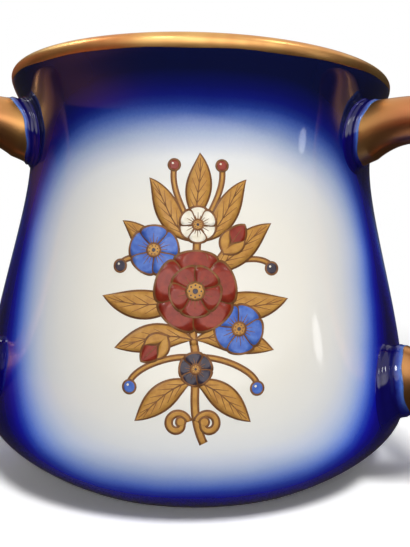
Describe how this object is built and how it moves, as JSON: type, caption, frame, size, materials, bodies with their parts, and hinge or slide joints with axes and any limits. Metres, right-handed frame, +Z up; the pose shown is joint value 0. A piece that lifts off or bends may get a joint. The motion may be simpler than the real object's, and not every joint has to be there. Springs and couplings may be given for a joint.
{
  "type": "three-handled drinking mug",
  "caption": "Porcelain drinking mug with a low belly, a flared gilt lip and gilt loop handles at even turns, air-brushed in cobalt round white panels.",
  "frame": {"origin": "on the mug's axis, in the plane of the table that it stands on; the mount underside names it, one millimetre up in the recess of the foot", "axes": "+Z up along the mug's axis; -Y is the front, which the white main panel faces between the left and the right handle; +Y points along the back handle; +X to the right handle's side"},
  "size_m": [0.1488, 0.1404, 0.102],
  "materials": {
    "cobalt_glaze": "air-brushed cobalt under clear gloss glaze, fading to ivory white panels",
    "rim_gilding": "burnished bright gilding over the glazed lip",
    "handle_gilding": "satin bronze-gold gilding over glazed porcelain",
    "slip_glaze": "glossy cobalt glaze, thin and light on the coves"
  },
  "bodies": {
    "root": {"cup_body": "cobalt_glaze", "gilt_rim": "rim_gilding", "handle_back": "handle_gilding", "slip_cove_upper_back": "slip_glaze", "slip_cove_lower_back": "slip_glaze", "handle_left": "handle_gilding", "slip_cove_upper_left": "slip_glaze", "slip_cove_lower_left": "slip_glaze", "handle_right": "handle_gilding", "slip_cove_upper_right": "slip_glaze", "slip_cove_lower_right": "slip_glaze"}
  },
  "joints": []
}
